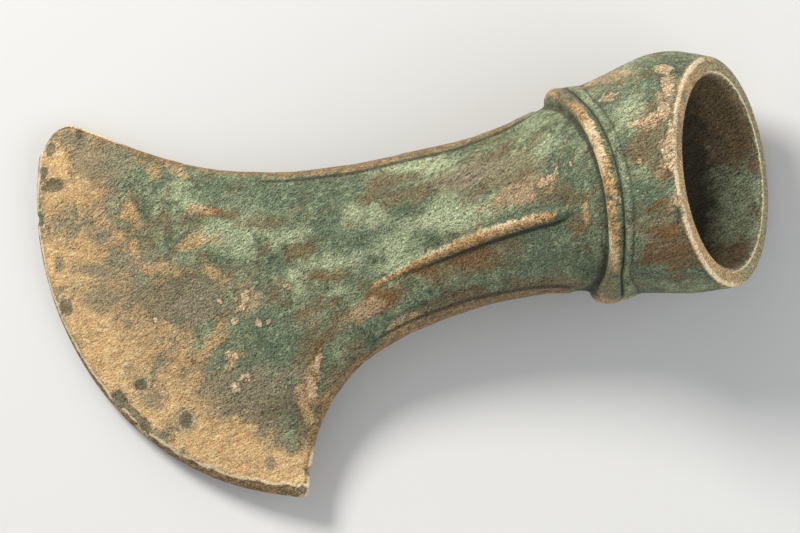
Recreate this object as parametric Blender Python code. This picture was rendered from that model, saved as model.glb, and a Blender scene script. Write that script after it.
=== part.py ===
"""Bronze socketed axe head with a flared, lopsided blade, lying on one of its broad faces.

The head is one casting. It is modelled in its own frame first: the socket's axis runs along X
with the mouth at X = 0 and the blade towards -X, the blade lies in the XY plane and the two
broad faces look along +Z and -Z. At the end it is laid down on the floor, where it rests on
the socket and on the cutting edge.
"""

import math
from collections import namedtuple

import bmesh
import bpy
import numpy as np
from mathutils import Matrix, Vector

MM = 0.001

# Lengths along the head, one after another from the mouth
MOUTH_TO_BULGE = 8.7 * MM
BULGE_TO_THROAT = 12.3 * MM
THROAT_TO_COLLAR = 9.7 * MM
COLLAR_TO_COVE = 6.8 * MM
COVE_TO_NECK = 9.5 * MM
NECK_TO_HORN = 75.2 * MM

# Socket
MOUTH_DIAMETER = 45.5 * MM
MOUTH_SLANT = -1.7 * MM
LIP_ROUNDING = 0.8 * MM
BULGE_DIAMETER = 47.9 * MM
THROAT_WIDTH = 43.7 * MM
THROAT_THICKNESS = 42.4 * MM
MOUTH_WALL = 3.75 * MM
COLLAR_WALL = 5.4 * MM
BORE_CHAMFER = 0.5 * MM
BORE_DEPTH = 74.0 * MM

# Collar: a bead with a smaller one on its mouth side, bowed towards the mouth on both faces
# and spread by a share of its width on the narrow sides. It leans a little over its upper side
COLLAR_SEAT_WIDTH = 40.0 * MM
COLLAR_SEAT_THICKNESS = 37.4 * MM
COLLAR_SLANT = 2.3 * MM
COLLAR_BOW = 17.3 * MM
COLLAR_LEAN = 0.8 * MM
BEAD_HEIGHT = 1.9 * MM
BEAD_WIDTH = 3.8 * MM
UPPER_SPREAD = 0.35
LOWER_SPREAD = 0.85
SMALL_BEAD_HEIGHT = 0.5 * MM
SMALL_BEAD_WIDTH = 1.9 * MM
GROOVE_DEPTH = 0.35 * MM
GROOVE_WIDTH = 2.2 * MM

# Neck, with the cove that leads to it from the collar
COVE_WIDTH = 35.5 * MM
COVE_THICKNESS = 33.4 * MM
NECK_WIDTH = 32.6 * MM
NECK_THICKNESS = 28.4 * MM
FLANGE_HEIGHT = 0.6 * MM
FLANGE_WIDTH = 2.3 * MM
UPPER_FLANGE_LENGTH = 74.0 * MM
LOWER_FLANGE_LENGTH = 60.0 * MM

# Rib down the middle of each face, curving towards the lower horn
RIB_FROM_COLLAR = 7.6 * MM
RIB_LENGTH = 60.0 * MM
RIB_OFFSET = -2.6 * MM
RIB_CURVE_RADIUS = 180.0 * MM
RIB_HEIGHT = 1.5 * MM
RIB_WIDTH = 3.0 * MM

# Blade
HORN_SPAN = 82.3 * MM
HORN_SLANT = 40.6 * MM
HORN_OFFSET = -9.0 * MM
HORN_THICKNESS = 4.9 * MM
EDGE_ARC_DEG = 49.2
EDGE_THICKNESS = 1.2 * MM
BEVEL_WIDTH = 2.6 * MM

# Places along the head that follow from the lengths
THROAT_FROM_MOUTH = MOUTH_TO_BULGE + BULGE_TO_THROAT
COLLAR_FROM_MOUTH = THROAT_FROM_MOUTH + THROAT_TO_COLLAR
COVE_FROM_MOUTH = COLLAR_FROM_MOUTH + COLLAR_TO_COVE
NECK_FROM_MOUTH = COVE_FROM_MOUTH + COVE_TO_NECK
HORN_FROM_MOUTH = NECK_FROM_MOUTH + NECK_TO_HORN
RIB_FROM_MOUTH = COLLAR_FROM_MOUTH - COLLAR_BOW + RIB_FROM_COLLAR

# How finely the solid is faceted: the steps on one face, from the upper flange to the lower
# one by way of the rib, and the steps round the bore
FACE_STEPS = (5, 8, 6, 9, 5)
BORE_STEPS = 40

# How deep the floor flattens what the head rests on
FLAT_SPOT_DEPTH = 0.3 * MM

BRONZE_COLOUR = (0.36, 0.33, 0.20, 1.0)
BRONZE_ROUGHNESS = 0.62
BRONZE_METALLIC = 0.35

# One section of the head. reach is its middle's distance from the mouth, width and thickness
# are its full sizes, offset is its middle's shift towards the upper horn, slant is how much
# further its upper end reaches than its lower one, arc_deg is half the angle of its curve
# towards the edge, and squareness is the power of its outline (2 is an ellipse).
Section = namedtuple("Section", "reach width offset slant thickness arc_deg squareness")


def neck_to_horn(share, width_share, offset, slant_share, thickness_share, arc_share, squareness):
    """A section of the blade, by shares of the way from the neck to the horns."""
    return Section(
        reach=NECK_FROM_MOUTH + share * NECK_TO_HORN,
        width=NECK_WIDTH + width_share * (HORN_SPAN - NECK_WIDTH),
        offset=offset * MM,
        slant=slant_share * HORN_SLANT,
        thickness=HORN_THICKNESS + thickness_share * (NECK_THICKNESS - HORN_THICKNESS),
        arc_deg=arc_share * EDGE_ARC_DEG,
        squareness=squareness,
    )


def head_sections():
    """The sections from the mouth to the cutting edge."""
    return [
        Section(0.0, MOUTH_DIAMETER, 0.0, MOUTH_SLANT, MOUTH_DIAMETER, 0.0, 2.0),
        Section(MOUTH_TO_BULGE, BULGE_DIAMETER, 1.3 * MM, -0.8 * MM, BULGE_DIAMETER, 0.0, 2.0),
        Section(THROAT_FROM_MOUTH, THROAT_WIDTH, 0.8 * MM, 1.3 * MM, THROAT_THICKNESS, 0.0, 2.0),
        Section(COLLAR_FROM_MOUTH, COLLAR_SEAT_WIDTH, 0.1 * MM, COLLAR_SLANT,
                COLLAR_SEAT_THICKNESS, 0.0, 2.0),
        Section(COVE_FROM_MOUTH, COVE_WIDTH, -0.3 * MM, COLLAR_SLANT, COVE_THICKNESS, 0.0, 2.05),
        neck_to_horn(0.00, 0.000, -1.1, 0.045, 1.000, 0.00, 2.2),
        neck_to_horn(0.22, 0.002, -2.4, 0.045, 0.720, 0.06, 2.4),
        neck_to_horn(0.43, 0.068, -4.3, 0.13, 0.490, 0.16, 2.6),
        neck_to_horn(0.63, 0.223, -6.2, 0.30, 0.300, 0.33, 2.9),
        neck_to_horn(0.78, 0.435, -7.3, 0.53, 0.183, 0.53, 3.1),
        neck_to_horn(0.89, 0.675, -7.3, 0.76, 0.090, 0.74, 3.2),
        neck_to_horn(0.95, 0.862, -8.1, 0.88, 0.040, 0.87, 3.2),
        neck_to_horn(1.00, 1.000, HORN_OFFSET / MM, 1.00, 0.000, 0.965, 3.2),
        neck_to_horn(1.026, 0.990, -9.7, 1.045, -0.017, 0.99, 3.2),
        neck_to_horn(1.072, 0.890, -11.4, 1.080, -0.025, 1.00, 3.2),
    ]


def section_at(reach, sections):
    """The section at each reach, by a smooth curve through the given ones."""
    knots = np.array([s.reach for s in sections])
    values = np.array(sections)
    slopes = np.gradient(values, knots, axis=0)
    reach = np.clip(reach, knots[0], knots[-1])
    k = np.clip(np.searchsorted(knots, reach) - 1, 0, len(knots) - 2)
    gap = (knots[k + 1] - knots[k])[..., None]
    t = ((reach - knots[k]) / gap[..., 0])[..., None]
    start, end = values[k], values[k + 1]
    found = (
        (2 * t**3 - 3 * t**2 + 1) * start
        + (t**3 - 2 * t**2 + t) * gap * slopes[k]
        + (3 * t**2 - 2 * t**3) * end
        + (t**3 - t**2) * gap * slopes[k + 1]
    )
    return Section(*np.moveaxis(found, -1, 0))


def plan_point(section, across):
    """X and Y of a point that lies across (-1 lower side, 1 upper side) of a section."""
    half = np.stack([-section.slant / 2, section.width / 2], -1)
    length = np.linalg.norm(half, axis=-1)
    along = half / length[..., None]
    ahead = np.stack([-along[..., 1], along[..., 0]], -1)
    arc = np.radians(np.maximum(section.arc_deg, 0.001))
    sideways = length * np.sin(arc * across) / np.sin(arc)
    forward = length * (np.cos(arc * across) - np.cos(arc)) / np.sin(arc)
    middle = np.stack([-section.reach, section.offset], -1)
    return middle + along * sideways[..., None] + ahead * forward[..., None]


def edge_circle():
    """Centre and radius of the cutting edge's arc."""
    edge = Section(*[np.float64(v) for v in head_sections()[-1]])
    ends = [plan_point(edge, np.float64(side)) for side in (-1.0, 1.0)]
    half = (ends[1] - ends[0]) / 2
    length = np.linalg.norm(half)
    arc = math.radians(EDGE_ARC_DEG)
    ahead = np.array([-half[1], half[0]]) / length
    return (ends[0] + ends[1]) / 2 - ahead * length / math.tan(arc), length / math.sin(arc)


def bump(distance, width):
    """A round bead's height, from 0 to 1, at a distance from its middle."""
    return np.clip(1 - (2 * distance / width) ** 2, 0, None) ** 0.7


def smooth(value, low, high):
    """0 below low, 1 above high, and an S-curve between."""
    t = np.clip((value - low) / (high - low), 0, 1)
    return t * t * (3 - 2 * t)


def collar_shift(angle):
    """How far the collar lies towards the blade from its level, round the head."""
    return COLLAR_LEAN * np.cos(angle) - COLLAR_BOW * np.abs(np.sin(angle)) ** 1.5


def collar_relief(reach, angle):
    """The collar's beads and the groove at its foot."""
    past = reach - COLLAR_FROM_MOUTH - collar_shift(angle)
    spread = np.where(np.cos(angle) > 0, UPPER_SPREAD, LOWER_SPREAD)
    past /= 1 + spread * smooth(np.abs(np.cos(angle)), 0.75, 1.0)
    small_at = -(BEAD_WIDTH + SMALL_BEAD_WIDTH) / 2
    groove_at = (BEAD_WIDTH + GROOVE_WIDTH) / 2
    return (
        BEAD_HEIGHT * bump(past, BEAD_WIDTH)
        + SMALL_BEAD_HEIGHT * bump(past - small_at, SMALL_BEAD_WIDTH)
        - GROOVE_DEPTH * bump(past - groove_at, GROOVE_WIDTH)
    )


def flange_relief(reach, across, width):
    """The raised border round both narrow sides of the neck, fading out on the blade."""
    inside = (1 - np.abs(across)) * width / 2
    border = FLANGE_HEIGHT * bump(inside, 2 * FLANGE_WIDTH)
    border -= 0.3 * FLANGE_HEIGHT * bump(inside - 1.25 * FLANGE_WIDTH, 0.5 * FLANGE_WIDTH)
    start = smooth(reach, COLLAR_FROM_MOUTH + BEAD_WIDTH / 2, COLLAR_FROM_MOUTH + 2 * BEAD_WIDTH)
    length = np.where(across > 0, UPPER_FLANGE_LENGTH, LOWER_FLANGE_LENGTH)
    along = (reach - COLLAR_FROM_MOUTH) / length
    return border * start * (1 - smooth(along, 0.5, 1.0))


def rib_line(x):
    """Y of the rib's crest."""
    return RIB_OFFSET - (x + RIB_FROM_MOUTH) ** 2 / (2 * RIB_CURVE_RADIUS)


def rib_relief(x, y, across):
    """The rib, which rises by the collar and fades to a point on the blade."""
    along = (-x - RIB_FROM_MOUTH) / RIB_LENGTH
    rise = smooth(along, 0.0, 0.15)
    fall = 1 - smooth(along, 0.45, 1.0)
    taper = 0.4 + 0.6 * rise * fall
    on_face = np.abs(across) < 0.9
    return RIB_HEIGHT * rise * fall * bump(y - rib_line(x), RIB_WIDTH * taper) * on_face


def head_points(reach, angle):
    """Points of the head's outside, for grids of reach and angle."""
    section = section_at(reach, head_sections())
    lip = np.clip(LIP_ROUNDING - section.reach, 0, LIP_ROUNDING)
    inset = LIP_ROUNDING - np.sqrt(LIP_ROUNDING**2 - lip**2)
    scale = 1 - 2 * inset / section.width
    across = np.cos(angle)
    plan = plan_point(section, across * scale)
    x, y = plan[..., 0], plan[..., 1]
    power = section.squareness
    height = section.thickness / 2 * np.clip(1 - np.abs(across) ** power, 0, 1) ** (1 / power)
    centre, radius = edge_circle()
    to_edge = radius - np.linalg.norm(plan - centre, axis=-1)
    slope = (HORN_THICKNESS - EDGE_THICKNESS) / 2 / BEVEL_WIDTH
    bevel = EDGE_THICKNESS / 2 + slope * np.clip(to_edge, 0, None)
    on_blade = section.reach > 0.85 * HORN_FROM_MOUTH
    height = np.where(on_blade, np.minimum(height, bevel), height * scale)
    base = np.stack([x, y, height * np.sign(np.sin(angle))], -1)

    toward_edge = np.gradient(base, axis=0)
    round_head = np.roll(base, -1, 1) - np.roll(base, 1, 1)
    normal = np.cross(toward_edge, round_head)
    normal /= np.maximum(np.linalg.norm(normal, axis=-1, keepdims=True), 1e-12)
    relief = (
        collar_relief(reach, angle)
        + flange_relief(section.reach, across, section.width)
        + rib_relief(x, y, across)
    )
    return base + normal * relief[..., None]


def grid_lines():
    """Reaches of the lines round the head: close at the lip, the collar and the edge."""
    stops = [
        (0.0, LIP_ROUNDING, 4),
        (LIP_ROUNDING, COLLAR_FROM_MOUTH - 5 * MM, 7),
        (COLLAR_FROM_MOUTH - 5 * MM, COLLAR_FROM_MOUTH + 5 * MM, 17),
        (COLLAR_FROM_MOUTH + 5 * MM, NECK_FROM_MOUTH, 5),
        (NECK_FROM_MOUTH, 0.93 * HORN_FROM_MOUTH, 16),
        (0.93 * HORN_FROM_MOUTH, head_sections()[-1].reach, 12),
    ]
    lines = [np.linspace(start, end, count, endpoint=False) for start, end, count in stops]
    return np.append(np.concatenate(lines), stops[-1][1])


def bowed_reach(lines, angle):
    """The reach at each angle of lines that follow the collar's bow near it."""
    near_collar = np.interp(
        lines,
        [0.0, COLLAR_FROM_MOUTH - 5 * MM, COLLAR_FROM_MOUTH + 5 * MM, 0.8 * HORN_FROM_MOUTH],
        [0.0, 1.0, 1.0, 0.0],
    )
    return lines + near_collar * collar_shift(angle)


def face_angles(lines):
    """Angles of the points on one face of each line, some of which follow the rib and flanges."""
    across = np.zeros_like(lines)
    for _ in range(8):
        section = section_at(bowed_reach(lines, np.arccos(across)), head_sections())
        plan = plan_point(section, across)
        miss = rib_line(plan[:, 0]) - plan[:, 1]
        across = np.clip(across + 2 * miss / section.width, -0.6, 0.6)
    rib_share = RIB_WIDTH / section.width
    flange_share = 2 * FLANGE_WIDTH / section.width
    zero = np.zeros_like(lines)
    rib = (across + rib_share, across - rib_share)
    keys = np.arccos(np.stack([zero + 1, 1 - flange_share, *rib, flange_share - 1, zero - 1]))
    at = np.cumsum([0, *FACE_STEPS])
    steps = np.arange(at[-1])
    followed = np.array([np.interp(steps, at, row) for row in keys.T])
    even = np.pi * steps / at[-1]
    share = np.interp(
        lines,
        [THROAT_FROM_MOUTH, COLLAR_FROM_MOUTH, RIB_FROM_MOUTH + RIB_LENGTH, HORN_FROM_MOUTH],
        [0.0, 1.0, 1.0, 0.0],
    )[:, None]
    return share * followed + (1 - share) * even


def head_grid(lines):
    """Grids of the reach and the angle of the points on each line."""
    face = face_angles(lines)
    angle = np.hstack([face, [[np.pi]] * len(lines), 2 * np.pi - face[:, :0:-1]])
    return bowed_reach(lines[:, None], angle), angle


def loft(name, rings, close_end):
    """A closed mesh object through rings of points, its first ring filled and its last by close_end."""
    mesh = bmesh.new()
    rows = [[mesh.verts.new(point) for point in ring] for ring in rings]
    count = len(rows[0])
    for first, second in zip(rows, rows[1:]):
        for j in range(count):
            k = (j + 1) % count
            mesh.faces.new((first[j], first[k], second[k], second[j]))
    mesh.faces.new(rows[0])
    close_end(mesh, rows[-1])
    bmesh.ops.recalc_face_normals(mesh, faces=mesh.faces)
    data = bpy.data.meshes.new(name)
    mesh.to_mesh(data)
    mesh.free()
    return bpy.data.objects.new(name, data)


def close_as_strip(mesh, ring):
    """Joins the two faces of a flat ring across its thickness, as on the cutting edge."""
    count = len(ring)
    half = count // 2
    mesh.faces.new((ring[0], ring[1], ring[-1]))
    for j in range(1, half - 1):
        mesh.faces.new((ring[j], ring[j + 1], ring[count - j - 1], ring[count - j]))
    mesh.faces.new((ring[half - 1], ring[half], ring[half + 1]))


def close_as_face(mesh, ring):
    """Fills the ring with one face."""
    mesh.faces.new(ring)


def axe_outside():
    """The head's outside as a solid."""
    return loft("axe_head", head_points(*head_grid(grid_lines())), close_as_strip)


def bore_cutter():
    """The hollow of the socket: round at the mouth, narrowing to a rounded wedge."""
    depth = np.array([-6 * MM, 0.0, BORE_CHAMFER, *np.linspace(6 * MM, BORE_DEPTH, 16)])
    section = section_at(np.clip(depth, 0, None), head_sections())
    wall = np.interp(depth, [0.0, COLLAR_FROM_MOUTH], [MOUTH_WALL, COLLAR_WALL])
    narrowing = np.sqrt(np.clip(1 - (np.clip(depth, 0, None) / BORE_DEPTH) ** 3, 0.004, 1))
    half_width = (section.width / 2 - wall) * narrowing
    half_height = (section.thickness / 2 - wall) * narrowing
    flare = np.clip(BORE_CHAMFER - np.clip(depth, 0, None), 0, None)
    angle = np.linspace(0, 2 * math.pi, BORE_STEPS, endpoint=False)
    rings = np.stack(
        [
            -depth[:, None] - section.slant[:, None] / 2 * np.cos(angle),
            section.offset[:, None] + (half_width + flare)[:, None] * np.cos(angle),
            (half_height + flare)[:, None] * np.sin(angle),
        ],
        -1,
    )
    return loft("bore_cutter", rings, close_as_face)


def evaluated_copy(obj):
    """A plain mesh object of what obj's modifiers make."""
    graph = bpy.context.evaluated_depsgraph_get()
    data = bpy.data.meshes.new_from_object(obj.evaluated_get(graph))
    copy = bpy.data.objects.new(obj.name + "_solid", data)
    copy.matrix_world = obj.matrix_world
    return copy


def cut(obj, cutter, helpers):
    """Cuts a helper solid from obj with a Boolean modifier."""
    cutter.hide_render = True
    cutter.display_type = "WIRE"
    helpers.objects.link(cutter)
    modifier = obj.modifiers.new(cutter.name, "BOOLEAN")
    modifier.operation = "DIFFERENCE"
    modifier.solver = "EXACT"
    modifier.object = cutter


def centre_of_mass(mesh):
    """The centroid of a closed bmesh's volume."""
    total, moment = 0.0, Vector()
    for a, b, c in (face.verts for face in bmesh.ops.triangulate(mesh, faces=mesh.faces)["faces"]):
        volume = a.co.dot(b.co.cross(c.co)) / 6
        total += volume
        moment += volume * (a.co + b.co + c.co) / 4
    return moment / total


def resting_rotation(data):
    """The rotation that lays the head on its -Z side, on the hull's face below its weight."""
    mesh = bmesh.new()
    mesh.from_mesh(data)
    weight = centre_of_mass(mesh)
    hull = bmesh.ops.convex_hull(mesh, input=mesh.verts)
    best, best_depth = None, -1.0
    for face in (item for item in hull["geom"] if isinstance(item, bmesh.types.BMFace)):
        normal = face.normal.copy()
        corners = [vert.co for vert in face.verts]
        if normal.dot(corners[0] - weight) < 0:
            normal.negate()
        if normal.z > -0.7:
            continue
        foot = weight + normal * normal.dot(corners[0] - weight)
        turn = 1 if face.normal.dot(normal) > 0 else -1
        sides = zip(corners, corners[1:] + corners[:1])
        depth = min(turn * face.normal.dot((b - a).cross(foot - a)) / (b - a).length for a, b in sides)
        if depth > best_depth:
            best, best_depth = normal, depth
    mesh.free()
    return best.rotation_difference(Vector((0, 0, -1))).to_matrix().to_4x4()


def lay_down(solid):
    """Where the head lies on the floor as its solid would rest, with the socket along X."""
    turn = resting_rotation(solid.data)
    axis = turn @ Vector((1, 0, 0))
    turn = Matrix.Rotation(-math.atan2(axis.y, axis.x), 4, "Z") @ turn
    points = [turn @ vert.co for vert in solid.data.vertices]
    low = Vector(min(p[i] for p in points) for i in range(3))
    high = Vector(max(p[i] for p in points) for i in range(3))
    middle = (low + high) / 2
    drop = low.z + FLAT_SPOT_DEPTH
    return Matrix.Translation((-middle.x, -middle.y, -drop)) @ turn


def floor_cutter():
    """A block just under the floor, which flattens the spots that the head rests on."""
    bpy.ops.mesh.primitive_cube_add(size=1)
    block = bpy.context.active_object
    block.name = "floor_cutter"
    block.scale = (0.4, 0.4, 0.02)
    block.location.z = -0.01
    for collection in block.users_collection:
        collection.objects.unlink(block)
    return block


def patinated_bronze():
    material = bpy.data.materials.new("patinated_bronze")
    material.use_nodes = True
    shader = material.node_tree.nodes["Principled BSDF"]
    shader.inputs["Base Color"].default_value = BRONZE_COLOUR
    shader.inputs["Roughness"].default_value = BRONZE_ROUGHNESS
    shader.inputs["Metallic"].default_value = BRONZE_METALLIC
    return material


def collection_named(name):
    collection = bpy.data.collections.new(name)
    bpy.context.scene.collection.children.link(collection)
    return collection


def main():
    for obj in list(bpy.data.objects):
        bpy.data.objects.remove(obj)
    parts = collection_named("bronze_axe_head")
    helpers = collection_named("cutters")
    head = axe_outside()
    parts.objects.link(head)
    head.data.materials.append(patinated_bronze())
    bore = bore_cutter()
    cut(head, bore, helpers)
    bpy.context.view_layer.update()
    solid = evaluated_copy(head)
    place = lay_down(solid)
    bpy.data.objects.remove(solid)
    head.matrix_world = place
    bore.matrix_world = place
    cut(head, floor_cutter(), helpers)
    head.data.shade_smooth()
    head.data.set_sharp_from_angle(angle=math.radians(35))


main()
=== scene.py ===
"""The bronze axe head on a pale floor: its fine shape, its patina, soft light and the camera."""

import math
from collections import namedtuple

import bpy
import numpy as np
from mathutils import Matrix, Vector


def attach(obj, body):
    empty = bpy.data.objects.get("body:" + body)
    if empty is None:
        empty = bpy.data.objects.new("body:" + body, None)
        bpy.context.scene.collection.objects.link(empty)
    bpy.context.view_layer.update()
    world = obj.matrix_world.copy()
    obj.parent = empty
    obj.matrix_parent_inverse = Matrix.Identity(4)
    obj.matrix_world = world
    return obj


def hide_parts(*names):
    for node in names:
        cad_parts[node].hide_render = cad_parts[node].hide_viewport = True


bl_info = {
    "name": "Bronze axe head",
    "version": (1, 0, 0),
    "blender": (4, 5, 0),
    "location": "View3D > Sidebar > Axe head",
    "description": "Builds a patinated bronze axe head on a pale floor",
    "category": "Object",
}

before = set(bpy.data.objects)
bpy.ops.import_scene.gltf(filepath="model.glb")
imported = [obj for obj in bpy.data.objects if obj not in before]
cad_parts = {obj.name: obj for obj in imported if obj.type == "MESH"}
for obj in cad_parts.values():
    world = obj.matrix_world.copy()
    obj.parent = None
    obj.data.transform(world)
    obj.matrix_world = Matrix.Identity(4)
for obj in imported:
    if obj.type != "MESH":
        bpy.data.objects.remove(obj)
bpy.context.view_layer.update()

MM = 0.001

# Lengths along the head, one after another from the mouth
MOUTH_TO_BULGE = 8.7 * MM
BULGE_TO_THROAT = 12.3 * MM
THROAT_TO_COLLAR = 9.7 * MM
COLLAR_TO_COVE = 6.8 * MM
COVE_TO_NECK = 9.5 * MM
NECK_TO_HORN = 75.2 * MM

# Socket
MOUTH_DIAMETER = 45.5 * MM
MOUTH_SLANT = -1.7 * MM
LIP_ROUNDING = 0.8 * MM
BULGE_DIAMETER = 47.9 * MM
THROAT_WIDTH = 43.7 * MM
THROAT_THICKNESS = 42.4 * MM
MOUTH_WALL = 3.75 * MM
COLLAR_WALL = 5.4 * MM
BORE_CHAMFER = 0.5 * MM
BORE_DEPTH = 74.0 * MM

# Collar
COLLAR_SEAT_WIDTH = 40.0 * MM
COLLAR_SEAT_THICKNESS = 37.4 * MM
COLLAR_SLANT = 2.3 * MM
COLLAR_BOW = 17.3 * MM
COLLAR_LEAN = 0.8 * MM
BEAD_HEIGHT = 1.9 * MM
BEAD_WIDTH = 3.8 * MM
UPPER_SPREAD = 0.35
LOWER_SPREAD = 0.85
SMALL_BEAD_HEIGHT = 0.5 * MM
SMALL_BEAD_WIDTH = 1.9 * MM
GROOVE_DEPTH = 0.35 * MM
GROOVE_WIDTH = 2.2 * MM

# Neck
COVE_WIDTH = 35.5 * MM
COVE_THICKNESS = 33.4 * MM
NECK_WIDTH = 32.6 * MM
NECK_THICKNESS = 28.4 * MM
FLANGE_HEIGHT = 0.6 * MM
FLANGE_WIDTH = 2.3 * MM
UPPER_FLANGE_LENGTH = 74.0 * MM
LOWER_FLANGE_LENGTH = 60.0 * MM

# Rib
RIB_FROM_COLLAR = 7.6 * MM
RIB_LENGTH = 60.0 * MM
RIB_OFFSET = -2.6 * MM
RIB_CURVE_RADIUS = 180.0 * MM
RIB_HEIGHT = 1.5 * MM
RIB_WIDTH = 3.0 * MM

# Blade
HORN_SPAN = 82.3 * MM
HORN_SLANT = 40.6 * MM
HORN_OFFSET = -9.0 * MM
HORN_THICKNESS = 4.9 * MM
EDGE_ARC_DEG = 49.2
EDGE_THICKNESS = 1.2 * MM
BEVEL_WIDTH = 2.6 * MM

# Places along the head that follow from the lengths
THROAT_FROM_MOUTH = MOUTH_TO_BULGE + BULGE_TO_THROAT
COLLAR_FROM_MOUTH = THROAT_FROM_MOUTH + THROAT_TO_COLLAR
COVE_FROM_MOUTH = COLLAR_FROM_MOUTH + COLLAR_TO_COVE
NECK_FROM_MOUTH = COVE_FROM_MOUTH + COVE_TO_NECK
HORN_FROM_MOUTH = NECK_FROM_MOUTH + NECK_TO_HORN
RIB_FROM_MOUTH = COLLAR_FROM_MOUTH - COLLAR_BOW + RIB_FROM_COLLAR
EDGE_ZONE_FROM_MOUTH = 0.85 * HORN_FROM_MOUTH
FINE_EDGE_FROM_MOUTH = 0.93 * HORN_FROM_MOUTH

# Fineness of the full mesh: points on a face from side to side, between its flanges and its rib,
# how far from the collar the lines lie close together, the rim's lines as shares of its width, and
# the lines along the hollow with the depth of the first one past its chamfer
FACE_STEPS = (20, 40, 18, 52, 20)
COLLAR_ZONE = 5 * MM
RIM_SHARES = np.array([0.12, 0.37, 0.62, 0.87])
BORE_LINES = 40
BORE_FIRST_LINE = 2.5 * MM

# Unevenness of the hollow: its height, and how far in from the mouth it is full
BORE_UNEVENNESS = 0.25 * MM
BORE_SMOOTH_LENGTH = 6 * MM

# How the head lies on the floor: the tilt of its socket, its roll and where its mouth is
REST_TILT_DEG = 9.4995
REST_ROLL_DEG = 2.5206
MOUTH_CENTRE = Vector((0.07362, 0.00923, 0.02668))

# How the camera sees the head: how far the socket points at it, how far the socket turns up
# in the picture, and where the middle of the mouth is in camera space
VIEW_TILT_DEG = 25.8
VIEW_ROLL_DEG = 9.6
VIEW_MOUTH = Vector((0.06334, 0.01862, -1.308))

# The lights shine on this point over the floor's middle. They stand off from it along these
# directions of the camera's own frame.
LIT_POINT = Vector((0.0, 0.0, 0.02))
KEY_DIRECTION = Vector((-0.55, 0.62, 0.56)) * 0.9
FILL_DIRECTION = Vector((0.7, -0.1, 0.7))
KEY_SIZE = 0.35
FILL_SIZE = 0.9
WARM_WHITE = (1.0, 0.97, 0.92)
COOL_WHITE = (0.93, 0.96, 1.0)
SKY_COLOUR = (0.97, 0.98, 1.0, 1.0)

# What the fields say of a point that is in no mark, off the edge's band or far from the edge
NO_MARK = -2.0
NO_BAND = -9.0
FAR_FROM_EDGE = 90.0

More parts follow.
